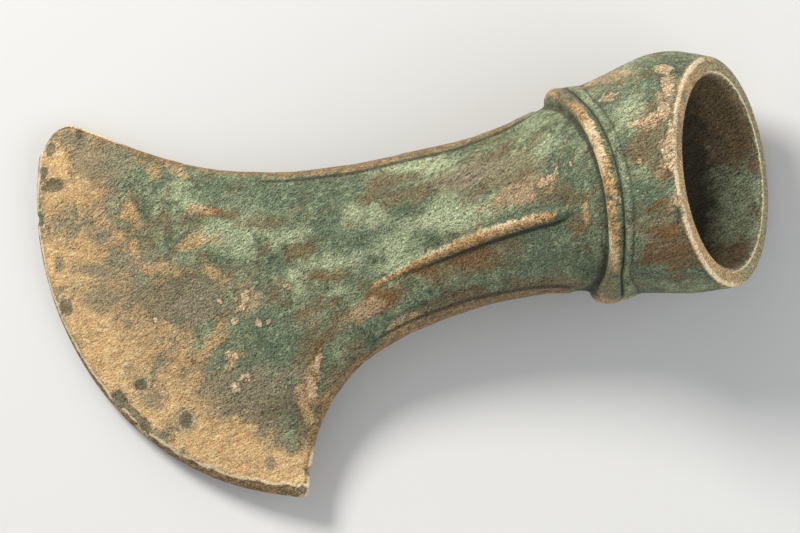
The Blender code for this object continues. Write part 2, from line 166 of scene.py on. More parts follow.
# Marks of the patina on the near face, by kind, and painted highlights on the collar and the rib.
# Each has its place along and across the head, its half length and half width in millimetres and
# its turn in degrees. The far face has them too, drawn in towards the mouth's middle.
FAR_FACE_SHRINK = 0.95
# The patch on the hollow's lower wall; inside the hollow it is painted pale as painted light.
BORE_MARKS = [(-8.0, -7.0, 10.0, 8.0, 0.0)]
MARKS = {
    "gold": [
        (-146.0, 21.5, 4.9, 9.5, -4), (-149.0, 4.9, 6.3, 9.5, -8), (-145.8, -6.0, 6.5, 9.5, -26),
        (-140.7, -16.3, 8.4, 9.1, -40), (-132.2, -26.7, 10.9, 6.4, -44),
        (-121.3, -37.7, 12.2, 4.4, -34), (-110.3, -44.9, 8.8, 2.5, -17),
        (-102.5, -45.8, 2.1, 2.5, -9),
    ],
    "streak": [
        (-136.1, 11.3, 5.3, 1.4, -50), (-130.0, 5.0, 1.4, 2.9, 0), (-124.8, -0.7, 4.3, 1.8, -4),
        (-115.4, 3.7, 4.8, 1.2, 4), (-112.0, -2.2, 2.2, 1.3, -35), (-124.2, 20.6, 3.3, 1.2, -43),
        (-122.5, -17.2, 6.7, 2.9, 1), (-72.6, -19.5, 3.9, 1.8, 21), (-21.5, -3.1, 0.9, 1.5, -8),
        (-97.5, -32.2, 0.9, 3.4, 1), (-111.9, 10.5, 3.3, 1.0, -17), (-145.6, 18.1, 4.2, 2.1, 17),
        (-140.5, 6.1, 5.1, 1.7, -26), (-111.5, -19.8, 1.4, 2.1, -8), (-94.9, -28.4, 1.2, 4.0, -29),
        (-125.3, -12.7, 2.4, 1.2, -8),
    ],
    "brown": [
        (-123.1, -6.8, 13.9, 6.1, 0), (-112.7, -33.1, 15.3, 6.1, 3), (-130.0, 7.1, 8.0, 3.3, 13),
        (-109.0, 9.0, 5.2, 1.4, -17), (-98.0, 5.8, 6.2, 1.4, -3), (-90.2, -1.1, 3.8, 1.4, -8),
        (-67.8, 9.5, 6.3, 1.4, -2), (-64.3, 6.3, 9.2, 1.9, -0), (-42.1, 7.6, 12.3, 4.4, 3),
        (-35.2, 2.4, 7.6, 2.1, 10), (-52.9, -9.1, 13.6, 3.1, 6), (-42.3, -7.3, 5.4, 2.1, 0),
        (-73.5, -13.3, 6.2, 2.9, 7), (-80.1, -15.6, 5.3, 2.0, 17), (-93.7, -21.3, 3.0, 7.6, -29),
        (-84.9, -7.1, 5.3, 1.2, -8), (-26.4, 1.1, 7.3, 2.2, -15), (-23.6, -5.0, 2.4, 3.4, -8),
        (-3.5, 9.4, 4.4, 4.1, -10), (-4.0, 4.3, 4.4, 2.1, -10), (-5.8, -9.7, 6.6, 4.2, -32),
        (-5.4, -4.9, 6.3, 1.0, 21), (-9.2, -13.9, 3.3, 3.3, -9), (-39.6, -16.2, 10.8, 2.1, -1),
        (-59.4, -17.2, 9.9, 2.4, 6), (-89.0, -29.7, 3.0, 6.3, -32), (-20.6, 21.6, 6.7, 2.1, 0),
        (-132.5, 25.6, 5.1, 2.1, -27),
    ],
    "teal": [
        (-90.3, 11.1, 14.2, 3.3, -7), (-109.7, 14.2, 4.6, 2.5, -9), (-72.3, 8.2, 10.8, 2.3, -2),
        (-121.6, 19.1, 2.7, 1.3, -9), (-99.8, -18.4, 6.6, 6.9, 18), (-97.6, -3.1, 4.3, 1.8, -8),
        (-83.1, 3.4, 2.9, 4.5, 0), (-76.6, -1.4, 7.3, 2.8, 1), (-79.3, -18.0, 6.1, 2.9, 18),
        (-98.3, -31.0, 2.6, 6.5, -18), (-25.6, 6.5, 4.7, 4.7, -24), (-33.6, -4.8, 10.9, 3.4, 0),
        (-34.2, -10.5, 9.1, 3.0, 2), (-22.2, 12.8, 3.4, 5.9, -30), (-15.5, 17.6, 5.3, 3.7, 18),
        (-6.8, -1.7, 4.5, 2.3, 0), (-13.2, -14.7, 4.0, 4.9, -8), (-0.0, -0.3, 1.5, 3.4, -64),
        (-2.5, 21.9, 3.3, 2.4, 1), (-10.5, 7.3, 1.5, 3.5, -23), (-0.8, -16.8, 4.1, 2.0, 17),
        (-63.5, -14.8, 7.1, 1.7, 7), (-25.6, -13.0, 2.7, 6.3, -8), (-106.9, -24.0, 6.2, 3.3, 18),
    ],
    "pale": [
        (-117.0, 12.9, 5.1, 1.4, -30), (-107.9, 5.4, 6.6, 2.6, 0), (-104.0, 1.6, 4.3, 2.2, -8),
        (-99.6, 5.8, 2.9, 1.4, -8), (-93.2, 2.0, 4.3, 1.6, 2), (-74.2, 2.5, 5.4, 3.0, -8),
        (-33.7, 9.0, 9.2, 2.9, 8), (-52.0, 0.3, 14.8, 2.4, 3), (-60.0, 11.3, 9.8, 1.5, -0),
        (-70.4, -2.8, 5.5, 2.4, -0), (-93.9, -5.0, 1.9, 0.8, -8), (-93.5, -16.0, 4.3, 1.2, 13),
        (-85.5, -4.4, 3.9, 2.0, 9), (-79.4, -4.4, 5.3, 1.6, 9), (-11.2, 16.0, 8.7, 2.4, -34),
        (-84.5, -10.7, 3.4, 0.8, 9), (-19.2, 18.1, 2.4, 5.5, -28), (-67.6, -6.9, 7.8, 1.4, 8),
    ],
    "grey": [
        (-140.1, -4.3, 4.8, 2.9, 0), (-137.0, 10.0, 3.6, 3.5, -9), (-145.6, 15.4, 2.2, 1.6, -9),
        (-148.4, 4.4, 1.2, 1.9, -8), (-131.4, 2.7, 6.2, 2.1, -17), (-134.3, -10.1, 1.2, 1.0, -8),
        (-134.2, -22.6, 2.1, 1.9, -8), (-132.3, -26.0, 2.9, 2.0, -36),
        (-125.2, -31.0, 2.3, 2.5, -8), (-107.8, -42.7, 1.1, 1.4, -8), (-119.0, -8.0, 8.1, 4.1, 9),
        (-108.4, -27.1, 8.5, 4.1, 1), (-48.4, 7.7, 8.4, 2.3, 2), (-139.4, 1.4, 5.6, 1.5, -21),
        (-137.0, 23.2, 5.1, 3.4, -35),
    ],
    "flake": [
        (-112.3, -8.5, 0.7, 0.6, -8), (-127.7, -10.1, 0.7, 0.6, -8), (-106.1, -8.6, 0.9, 1.8, -35),
        (-107.5, -10.7, 1.4, 0.6, 26), (-109.5, -13.3, 0.9, 0.6, -8), (-103.4, -14.1, 0.7, 0.8, -8),
        (-101.5, -14.2, 0.7, 0.6, -8), (-95.4, -8.3, 1.0, 0.6, -8), (-111.5, -20.2, 1.4, 1.0, -8),
        (-112.3, -22.4, 0.7, 0.6, -8), (-109.5, -24.9, 1.2, 0.8, 18), (-112.0, -26.2, 1.2, 1.2, 9),
        (-100.4, -28.0, 0.4, 0.4, -8), (-130.6, -23.8, 1.1, 0.9, -36),
        (-129.7, -25.1, 1.1, 0.7, -46), (-4.6, 21.7, 1.8, 0.9, -15), (-14.7, 18.1, 2.1, 0.9, 178),
        (-2.1, 18.5, 1.0, 2.5, 27), (-5.5, 12.1, 3.1, 0.7, 5), (-7.7, 11.7, 1.0, 0.7, -9),
        (-1.9, 13.2, 1.2, 1.8, 11), (-3.4, 12.7, 1.5, 0.9, 11), (-0.7, 8.0, 1.0, 4.1, -18),
        (-7.0, 4.6, 0.6, 0.6, -9), (-28.9, 3.9, 2.8, 0.7, 21), (-26.4, 6.3, 0.5, 0.4, -8),
        (-22.7, 6.3, 0.5, 0.4, -8), (0.1, 4.0, 0.9, 2.5, -37), (-95.1, -29.0, 1.0, 2.6, -19),
        (-91.9, -23.7, 0.6, 2.7, -30), (-0.2, -4.2, 0.9, 1.7, -58),
    ],
    "tan": [
        (-35.2, 2.4, 7.6, 1.9, 10), (-29.7, 3.4, 3.2, 1.3, 25), (-1.6, 16.2, 1.6, 4.1, 12),
        (-4.1, 12.2, 3.1, 1.1, 5), (-1.1, 7.7, 1.4, 4.8, -18), (-0.8, -2.1, 0.8, 4.3, -29),
        (-79.8, -15.5, 3.8, 1.6, 21), (-17.6, 22.2, 7.3, 1.2, 3), (-105.7, -9.3, 2.7, 3.5, -35),
    ],
    # Painted highlights: pale strokes on the collar's upper part and along the rib's crest.
    "painted_highlight": [
        (-16.5, 12.1, 1.8, 6.9, -24), (-15.1, 5.5, 1.5, 7.3, -15), (-16.2, -7.2, 0.9, 7.3, -7),
        (-42.1, -2.6, 8.5, 0.9, 2), (-57.4, -4.9, 3.3, 1.0, 12), (-69.6, -7.7, 4.7, 0.9, 14),
    ],
    "collar_green": [
        (-21.2, -18.4, 4.0, 6.7, -21), (-24.5, 18.9, 5.5, 1.6, -24),
    ],
    "rust": [
        (-73.7, -13.2, 4.3, 1.6, 7), (-6.0, -14.5, 4.9, 3.4, -175), (-4.8, -10.2, 3.5, 1.8, -26),
        (-62.7, -9.5, 3.3, 0.9, 0), (-51.2, -8.5, 6.2, 1.7, 4), (-85.2, -7.5, 2.9, 0.6, -8),
        (-108.8, 9.0, 3.1, 1.0, -19), (-91.8, -22.0, 0.8, 2.7, -33), (-1.1, 1.5, 1.2, 3.1, -40),
        (-5.4, -4.3, 2.9, 0.6, 24),
    ],
    "chip": [
        (-146.3, 27.8, 1.3, 1.4, -21), (-146.9, 20.6, 2.9, 1.4, 3), (-151.7, 14.2, 1.5, 1.6, -7),
        (-148.5, -4.8, 1.8, 1.9, 0), (-139.6, -25.4, 2.2, 2.0, -41), (-136.8, -28.5, 1.5, 1.1, -45),
        (-135.3, -31.3, 1.9, 1.8, -52), (-102.3, -49.2, 1.2, 1.0, -10),
        (-148.7, 23.6, 1.1, 1.4, -8), (-13.7, -1.3, 1.5, 0.6, -13), (-61.4, -5.4, 0.5, 0.9, 9),
        (-134.2, -22.4, 1.7, 1.4, -8), (-125.2, -31.0, 1.6, 1.9, -8),
    ],
}

Section = namedtuple("Section", "reach width offset slant thickness arc_deg squareness")

# Where a point of the outside is: how far along the head and past the collar, inside the narrow
# sides, from the rib and from the cutting edge, and how much there is of the flange and the rib
Where = namedtuple("Where", "reach past inside flange from_rib rib rib_width to_edge band_width")


def tone(red, green, blue):
    """A linear colour from its 8-bit display values."""
    shares = [v / 255 for v in (red, green, blue)]
    return tuple(s / 12.92 if s <= 0.04045 else ((s + 0.055) / 1.055) ** 2.4 for s in shares)


# Shape, as in the solid

def neck_to_horn(share, width_share, offset, slant_share, thickness_share, arc_share, squareness):
    """A section of the blade, by shares of the way from the neck to the horns."""
    return Section(
        reach=NECK_FROM_MOUTH + share * NECK_TO_HORN,
        width=NECK_WIDTH + width_share * (HORN_SPAN - NECK_WIDTH),
        offset=offset * MM,
        slant=slant_share * HORN_SLANT,
        thickness=HORN_THICKNESS + thickness_share * (NECK_THICKNESS - HORN_THICKNESS),
        arc_deg=arc_share * EDGE_ARC_DEG,
        squareness=squareness,
    )


def head_sections():
    """The sections from the mouth to the cutting edge."""
    return [
        Section(0.0, MOUTH_DIAMETER, 0.0, MOUTH_SLANT, MOUTH_DIAMETER, 0.0, 2.0),
        Section(MOUTH_TO_BULGE, BULGE_DIAMETER, 1.3 * MM, -0.8 * MM, BULGE_DIAMETER, 0.0, 2.0),
        Section(THROAT_FROM_MOUTH, THROAT_WIDTH, 0.8 * MM, 1.3 * MM, THROAT_THICKNESS, 0.0, 2.0),
        Section(COLLAR_FROM_MOUTH, COLLAR_SEAT_WIDTH, 0.1 * MM, COLLAR_SLANT,
                COLLAR_SEAT_THICKNESS, 0.0, 2.0),
        Section(COVE_FROM_MOUTH, COVE_WIDTH, -0.3 * MM, COLLAR_SLANT, COVE_THICKNESS, 0.0, 2.05),
        neck_to_horn(0.00, 0.000, -1.1, 0.045, 1.000, 0.00, 2.2),
        neck_to_horn(0.22, 0.002, -2.4, 0.045, 0.720, 0.06, 2.4),
        neck_to_horn(0.43, 0.068, -4.3, 0.13, 0.490, 0.16, 2.6),
        neck_to_horn(0.63, 0.223, -6.2, 0.30, 0.300, 0.33, 2.9),
        neck_to_horn(0.78, 0.435, -7.3, 0.53, 0.183, 0.53, 3.1),
        neck_to_horn(0.89, 0.675, -7.3, 0.76, 0.090, 0.74, 3.2),
        neck_to_horn(0.95, 0.862, -8.1, 0.88, 0.040, 0.87, 3.2),
        neck_to_horn(1.00, 1.000, HORN_OFFSET / MM, 1.00, 0.000, 0.965, 3.2),
        neck_to_horn(1.026, 0.990, -9.7, 1.045, -0.017, 0.99, 3.2),
        neck_to_horn(1.072, 0.890, -11.4, 1.080, -0.025, 1.00, 3.2),
    ]


def section_at(reach, sections):
    """The section at each reach, by a smooth curve through the given ones."""
    knots = np.array([s.reach for s in sections])
    values = np.array(sections)
    slopes = np.gradient(values, knots, axis=0)
    reach = np.clip(reach, knots[0], knots[-1])
    k = np.clip(np.searchsorted(knots, reach) - 1, 0, len(knots) - 2)
    gap = (knots[k + 1] - knots[k])[..., None]
    t = ((reach - knots[k]) / gap[..., 0])[..., None]
    start, end = values[k], values[k + 1]
    found = (
        (2 * t**3 - 3 * t**2 + 1) * start
        + (t**3 - 2 * t**2 + t) * gap * slopes[k]
        + (3 * t**2 - 2 * t**3) * end
        + (t**3 - t**2) * gap * slopes[k + 1]
    )
    return Section(*np.moveaxis(found, -1, 0))


def plan_point(section, across):
    """X and Y of a point that lies across (-1 lower side, 1 upper side) of a section."""
    half = np.stack([-section.slant / 2, section.width / 2], -1)
    length = np.linalg.norm(half, axis=-1)
    along = half / length[..., None]
    ahead = np.stack([-along[..., 1], along[..., 0]], -1)
    arc = np.radians(np.maximum(section.arc_deg, 0.001))
    sideways = length * np.sin(arc * across) / np.sin(arc)
    forward = length * (np.cos(arc * across) - np.cos(arc)) / np.sin(arc)
    middle = np.stack([-section.reach, section.offset], -1)
    return middle + along * sideways[..., None] + ahead * forward[..., None]


def edge_circle():
    """Centre and radius of the cutting edge's arc."""
    edge = Section(*[np.float64(v) for v in head_sections()[-1]])
    ends = [plan_point(edge, np.float64(side)) for side in (-1.0, 1.0)]
    half = (ends[1] - ends[0]) / 2
    length = np.linalg.norm(half)
    arc = math.radians(EDGE_ARC_DEG)
    ahead = np.array([-half[1], half[0]]) / length
    return (ends[0] + ends[1]) / 2 - ahead * length / math.tan(arc), length / math.sin(arc)


def bump(distance, width):
    """A round bead's height, from 0 to 1, at a distance from its middle."""
    return np.clip(1 - (2 * distance / width) ** 2, 0, None) ** 0.7


def smooth(value, low, high):
    """0 below low, 1 above high, and an S-curve between."""
    t = np.clip((value - low) / (high - low), 0, 1)
    return t * t * (3 - 2 * t)


def collar_shift(angle):
    """How far the collar lies towards the blade from its level, round the head."""
    return COLLAR_LEAN * np.cos(angle) - COLLAR_BOW * np.abs(np.sin(angle)) ** 1.5


def past_collar(reach, angle):
    """Distance from the bead's crest towards the blade, as the bead's spread scales it."""
    past = reach - COLLAR_FROM_MOUTH - collar_shift(angle)
    spread = np.where(np.cos(angle) > 0, UPPER_SPREAD, LOWER_SPREAD)
    return past / (1 + spread * smooth(np.abs(np.cos(angle)), 0.75, 1.0))


def collar_relief(past):
    """The collar's beads and the groove at its foot."""
    small_at = -(BEAD_WIDTH + SMALL_BEAD_WIDTH) / 2
    groove_at = (BEAD_WIDTH + GROOVE_WIDTH) / 2
    return (
        BEAD_HEIGHT * bump(past, BEAD_WIDTH)
        + SMALL_BEAD_HEIGHT * bump(past - small_at, SMALL_BEAD_WIDTH)
        - GROOVE_DEPTH * bump(past - groove_at, GROOVE_WIDTH)
    )


def flange_presence(reach, across):
    """How much of the flanges there is: they start at the collar and fade out on the blade."""
    start = smooth(reach, COLLAR_FROM_MOUTH + BEAD_WIDTH / 2, COLLAR_FROM_MOUTH + 2 * BEAD_WIDTH)
    length = np.where(across > 0, UPPER_FLANGE_LENGTH, LOWER_FLANGE_LENGTH)
    return start * (1 - smooth((reach - COLLAR_FROM_MOUTH) / length, 0.5, 1.0))


def flange_relief(inside):
    """The raised border round a narrow side, with the groove along its foot."""
    border = FLANGE_HEIGHT * bump(inside, 2 * FLANGE_WIDTH)
    return border - 0.3 * FLANGE_HEIGHT * bump(inside - 1.25 * FLANGE_WIDTH, 0.5 * FLANGE_WIDTH)


def rib_line(x):
    """Y of the rib's crest."""
    return RIB_OFFSET - (x + RIB_FROM_MOUTH) ** 2 / (2 * RIB_CURVE_RADIUS)


def rib_presence(x):
    """How much of the rib there is: it rises by the collar and fades to a point."""
    along = (-x - RIB_FROM_MOUTH) / RIB_LENGTH
    return smooth(along, 0.0, 0.15) * (1 - smooth(along, 0.45, 1.0))


# The grid of points

def grid_lines(detail):
    """Reaches of the lines round the head: close at the lip, the collar and the edge."""
    stops = [
        (0.0, LIP_ROUNDING, 5),
        (LIP_ROUNDING, COLLAR_FROM_MOUTH - COLLAR_ZONE, 38),
        (COLLAR_FROM_MOUTH - COLLAR_ZONE, COLLAR_FROM_MOUTH + COLLAR_ZONE, 40),
        (COLLAR_FROM_MOUTH + COLLAR_ZONE, FINE_EDGE_FROM_MOUTH, 150),
        (FINE_EDGE_FROM_MOUTH, head_sections()[-1].reach, 42),
    ]
    lines = [
        np.linspace(start, end, max(4, round(count * detail)), endpoint=False)
        for start, end, count in stops
    ]
    return np.append(np.concatenate(lines), stops[-1][1])


def bowed_reach(lines, angle):
    """The reach at each angle of lines that follow the collar's bow near it."""
    start, end = COLLAR_FROM_MOUTH - COLLAR_ZONE, COLLAR_FROM_MOUTH + COLLAR_ZONE
    stops = [0.0, start, end, 0.8 * HORN_FROM_MOUTH]
    near_collar = np.interp(lines, stops, [0.0, 1.0, 1.0, 0.0])
    return lines + near_collar * collar_shift(angle)


def face_angles(lines, steps_on):
    """Angles of the points on one face of each line, some of which follow the rib and flanges."""
    # Where each line meets the rib, found in a few steps within the middle of the face
    across = np.zeros_like(lines)
    for _ in range(8):
        section = section_at(bowed_reach(lines, np.arccos(across)), head_sections())
        plan = plan_point(section, across)
        miss = rib_line(plan[:, 0]) - plan[:, 1]
        across = np.clip(across + 2 * miss / section.width, -0.6, 0.6)
    rib_share = RIB_WIDTH / section.width
    flange_share = 2 * FLANGE_WIDTH / section.width
    zero = np.zeros_like(lines)
    rib = (across + rib_share, across - rib_share)
    keys = np.arccos(np.stack([zero + 1, 1 - flange_share, *rib, flange_share - 1, zero - 1]))
    at = np.cumsum([0, *steps_on])
    steps = np.arange(at[-1])
    followed = np.array([np.interp(steps, at, row) for row in keys.T])
    even = np.pi * steps / at[-1]
    share = np.interp(
        lines,
        [THROAT_FROM_MOUTH, COLLAR_FROM_MOUTH, RIB_FROM_MOUTH + RIB_LENGTH, HORN_FROM_MOUTH],
        [0.0, 1.0, 1.0, 0.0],
    )[:, None]
    return share * followed + (1 - share) * even


def head_grid(lines, steps_on):
    """Grids of the reach and the angle of the points on each line."""
    face = face_angles(lines, steps_on)
    angle = np.hstack([face, [[np.pi]] * len(lines), 2 * np.pi - face[:, :0:-1]])
    return bowed_reach(lines[:, None], angle), angle


# Unevenness

def lattice(cells, seed):
    """A random number from -1 to 1 for each whole-numbered cell, mixed by large odd numbers."""
    i, j, k = np.moveaxis(cells.astype(np.uint64), -1, 0)
    mixed = i * np.uint64(73856093) ^ j * np.uint64(19349663) ^ k * np.uint64(83492791)
    mixed = (mixed ^ np.uint64(seed * 2654435761)) * np.uint64(0x9E3779B97F4A7C15)
    mixed ^= mixed >> np.uint64(29)
    mixed *= np.uint64(0xBF58476D1CE4E5B9)
    return (mixed >> np.uint64(40)).astype(float) / 2**23 - 1


def rough(points, size, seed, octaves=3):
    """Smooth random unevenness from about -1 to 1, of bumps about size across."""
    away_from_zero = 1000.5
    total = np.zeros(points.shape[:-1])
    weight = 1.0
    for octave in range(octaves):
        place = points / size * 2**octave + away_from_zero
        cells = np.floor(place)
        share = place - cells
        share = share**3 * (share * (share * 6 - 15) + 10)
        for corner in np.ndindex(2, 2, 2):
            blend = np.prod(np.where(np.array(corner), share, 1 - share), axis=-1)
            total += weight * blend * lattice(cells + corner, seed + octave)
        weight *= 0.5
    return total


# The head's surface

def line(distance, width):
    """A line's strength, from 0 to 1, at a distance from its middle."""
    return np.clip(1 - np.abs(distance) / width, 0, 1)


def marks_at(points, rows):
    """How deep in a mark each point is: 1 at its middle, 0 on its edge, less outside.

    Height counts in the distance too, so that a mark on one face doesn't show on the other.
    """
    spots = points / MM
    deepest = np.full(spots.shape[:-1], NO_MARK)
    for along, across, half_length, half_width, turn in rows:
        cosine, sine = math.cos(math.radians(turn)), math.sin(math.radians(turn))
        for face, shrink in ((1, 1.0), (-1, FAR_FACE_SHRINK)):
            gap = np.hypot(spots[..., 0] - along * shrink, spots[..., 1] - across * shrink)
            gap[spots[..., 2] * face < 0] = np.inf
            away = spots - spots.reshape(-1, 3)[np.argmin(gap)]
            lengthways = (away[..., 0] * cosine + away[..., 1] * sine) / half_length
            sideways = (away[..., 1] * cosine - away[..., 0] * sine) / half_width
            outward = away[..., 2] / (1.4 * max(half_length, half_width))
            distance = np.sqrt(lengthways**2 + sideways**2 + outward**2)
            deepest = np.maximum(deepest, 1 - distance)
    return deepest


def plain_outside(reach, angle):
    """The outside without its raised parts, and where each of its points is."""
    section = section_at(reach, head_sections())
    lip = np.clip(LIP_ROUNDING - section.reach, 0, LIP_ROUNDING)
    inset = LIP_ROUNDING - np.sqrt(LIP_ROUNDING**2 - lip**2)
    scale = 1 - 2 * inset / section.width
    across = np.cos(angle)
    face = np.sign(np.sin(angle))
    plan = plan_point(section, across * scale)
    x, y = plan[..., 0], plan[..., 1]
    power = section.squareness
    height = section.thickness / 2 * np.clip(1 - np.abs(across) ** power, 0, 1) ** (1 / power)
    centre, radius = edge_circle()
    to_edge = radius - np.linalg.norm(plan - centre, axis=-1)

    # The bevel is wavy, in its own way on each face, and wider towards the lower horn
    wobble = rough(np.stack([x, y, face * 50 * MM], -1), 2.6 * MM, 11)
    down_edge = smooth(across, 0.7, -0.9)
    bevel_width = BEVEL_WIDTH * (0.8 + 0.3 * down_edge + 0.2 * wobble)
    slope = (HORN_THICKNESS - EDGE_THICKNESS) / 2 / bevel_width
    bevel = EDGE_THICKNESS / 2 + slope * np.clip(to_edge, 0, None)
    on_blade = section.reach > EDGE_ZONE_FROM_MOUTH
    height = np.where(on_blade, np.minimum(height, bevel), height * scale)

    rib = rib_presence(x) * (np.abs(across) < 0.9)
    where = Where(
        reach=section.reach,
        past=past_collar(reach, angle),
        inside=(1 - np.abs(across)) * section.width / 2,
        flange=flange_presence(section.reach, across),
        from_rib=y - rib_line(x),
        rib=rib,
        rib_width=RIB_WIDTH * (0.4 + 0.6 * rib),
        to_edge=to_edge,
        band_width=(0.3 + 0.5 * down_edge) * bevel_width,
    )
    return np.stack([x, y, height * face], -1), where


def straight_out(base):
    """Vectors of length 1, straight out from the surface."""
    toward_edge = np.gradient(base, axis=0)
    round_head = np.roll(base, -1, 1) - np.roll(base, 1, 1)
    normal = np.cross(toward_edge, round_head)
    return normal / np.maximum(np.linalg.norm(normal, axis=-1, keepdims=True), 1e-12)


def crease_shade_and_dirt(where):
    """Painted shade and dirt in the creases: at the large bead's foot, beside the small bead, along
    the rib and the flanges, darkest below the rib as its painted shadow.
    """
    below_rib = where.from_rib + where.rib_width / 2 + 0.3 * MM
    above_rib = where.from_rib - where.rib_width / 2 - 0.2 * MM
    flange_foot = where.inside - 0.64 * FLANGE_WIDTH
    return np.maximum.reduce([
        line(where.past - 2.6 * MM, 1.4 * MM),
        line(where.past + 2.0 * MM, 0.4 * MM),
        0.6 * line(where.past + 4.1 * MM, 0.7 * MM),
        # Painted shadow: the line below the rib is darker than the one above it.
        where.rib * line(below_rib, 0.7 * MM),
        0.5 * where.rib * line(above_rib, 0.5 * MM),
        smooth(where.flange, 0, 0.4) * line(flange_foot, 0.5 * MM),
    ])


def wear_fields(base, where, angle):
    """The fields that the patina follows: marks, lines from 0 to 1 and distances in millimetres."""
    fields = {name: marks_at(base, rows) for name, rows in MARKS.items()}
    worn_rib = smooth(where.rib, 0.002, 0.1)
    worn_rib *= smooth(-base[..., 0] - RIB_FROM_MOUTH, 0.5 * MM, 9 * MM)
    fields["crest"] = np.maximum.reduce([
        1 - np.abs(where.past) / (BEAD_WIDTH / 2),
        worn_rib * (2 - np.abs(where.from_rib) / (where.rib_width / 2)) - 1,
    ])
    along_side = smooth(where.reach, COVE_FROM_MOUTH - 4 * MM, COVE_FROM_MOUTH)
    border_width = (0.3 + 0.5 * where.flange) * FLANGE_WIDTH
    fields["border"] = along_side * line(where.inside, border_width)
    # Painted shade and dirt in the creases.
    fields["groove"] = crease_shade_and_dirt(where)
    on_blade = where.reach > EDGE_ZONE_FROM_MOUTH
    fields["edge_band"] = np.where(on_blade, (where.band_width - where.to_edge) / MM, NO_BAND)
    near_horn = smooth(where.reach, 0.9 * HORN_FROM_MOUTH, 0.97 * HORN_FROM_MOUTH)
    fields["side_edge"] = near_horn * line(where.inside, 0.4 * MM)
    past_neck = where.reach > 0.4 * HORN_FROM_MOUTH
    fields["from_edge"] = np.where(past_neck, where.to_edge / MM, FAR_FROM_EDGE)
    # Painted highlight: a line along the small bead.
    fields["small_bead_highlight"] = line(where.past + 3.0 * MM, 1.1 * MM)
    fields["near"] = np.sin(angle)
    fields["pit"] = smooth(rough(base, 2.6 * MM, 21, 2), 0.8, 1.2)
    return fields


def height_over(base, where, fields, settings):
    """Height over the plain outside: the collar, flanges and rib, and the patina's own relief."""
    relief = (
        collar_relief(where.past)
        + flange_relief(where.inside) * where.flange
        + RIB_HEIGHT * where.rib * bump(where.from_rib, where.rib_width)
    )
    # Crust, pits, chips and flakes, and brown patches that lie a little lower
    uneven = rough(base, 9 * MM, 3, 2) + 0.6 * rough(base, 2.2 * MM, 5, 2)
    ragged = 0.35 * rough(base, 1.1 * MM, 41, 2)
    relief += settings.crust_height * uneven - settings.pit_depth * fields["pit"]
    relief -= settings.chip_depth * smooth(fields["chip"] + ragged, -0.05, 0.35)
    relief += settings.flake_height * smooth(fields["flake"] + ragged, -0.1, 0.25)
    relief -= 0.5 * settings.flake_height * smooth(fields["brown"] + ragged, -0.05, 0.2)
    return relief


def head_surface(reach, angle, settings):
    """Points of the outside, and the fields that the patina follows, all by name."""
    base, where = plain_outside(reach, angle)
    fields = wear_fields(base, where, angle)
    fade = smooth(where.reach, 0.0, 2 * LIP_ROUNDING)
    relief = height_over(base, where, fields, settings) * fade
    return base + straight_out(base) * relief[..., None], fields


def bore_rings(count, detail):
    """Rings of the socket's hollow, from its chamfer to its rounded end."""
    deep = np.linspace(BORE_FIRST_LINE, BORE_DEPTH, max(12, round(BORE_LINES * detail)))
    depth = np.concatenate([[0.0, BORE_CHAMFER], deep])
    section = section_at(depth, head_sections())
    wall = np.interp(depth, [0.0, COLLAR_FROM_MOUTH], [MOUTH_WALL, COLLAR_WALL])
    # It keeps its width for most of its depth and then rounds off to a small flat end
    narrowing = np.sqrt(np.clip(1 - (depth / BORE_DEPTH) ** 3, 0.004, 1))
    flare = np.clip(BORE_CHAMFER - depth, 0, None)
    half_width = (section.width / 2 - wall) * narrowing + flare
    half_height = (section.thickness / 2 - wall) * narrowing + flare
    angle = np.linspace(0, 2 * math.pi, count, endpoint=False)
    rings = np.stack(
        [
            -depth[:, None] - section.slant[:, None] / 2 * np.cos(angle),
            section.offset[:, None] + half_width[:, None] * np.cos(angle),
            half_height[:, None] * np.sin(angle),
        ],
        -1,
    )
    inward = rings.copy()
    inward[..., 0] = 0
    inward /= np.maximum(np.linalg.norm(inward, axis=-1, keepdims=True), 1e-9)
    presence = smooth(depth, 0, BORE_SMOOTH_LENGTH)[:, None]
    uneven = BORE_UNEVENNESS * rough(rings, 7 * MM, 31, 3) * presence
    return rings + inward * uneven[..., None], depth


def rest_matrix():
    """Where the head lies in the world."""
    tilt = Matrix.Rotation(-math.radians(REST_TILT_DEG), 4, "Y")
    roll = Matrix.Rotation(math.radians(REST_ROLL_DEG), 4, "X")
    return Matrix.Translation(MOUTH_CENTRE) @ tilt @ roll


def in_world(points):
    """Points of the head's own frame, laid on the floor and flattened where they touch it."""
    place = np.array(rest_matrix())
    world = points @ place[:3, :3].T + place[:3, 3]
    world[..., 2] = np.maximum(world[..., 2], 0.0)
    return world


def ring_faces(rows, count):
    """Faces between rings that follow one another in the list of points."""
    first = np.arange(rows - 1)[:, None] * count
    j = np.arange(count)
    k = (j + 1) % count
    corners = (first + j, first + k, first + count + k, first + count + j)
    return np.stack(np.broadcast_arrays(*corners), -1).reshape(-1, 4)


def strip_faces(last, count):
    """Faces that close the cutting edge, across its last ring of points."""
    half = count // 2
    faces = [(last, last + 1, last + count - 1), (last + half - 1, last + half, last + half + 1)]
    for j in range(1, half - 1):
        faces.append((last + j, last + j + 1, last + count - j - 1, last + count - j))
    return faces


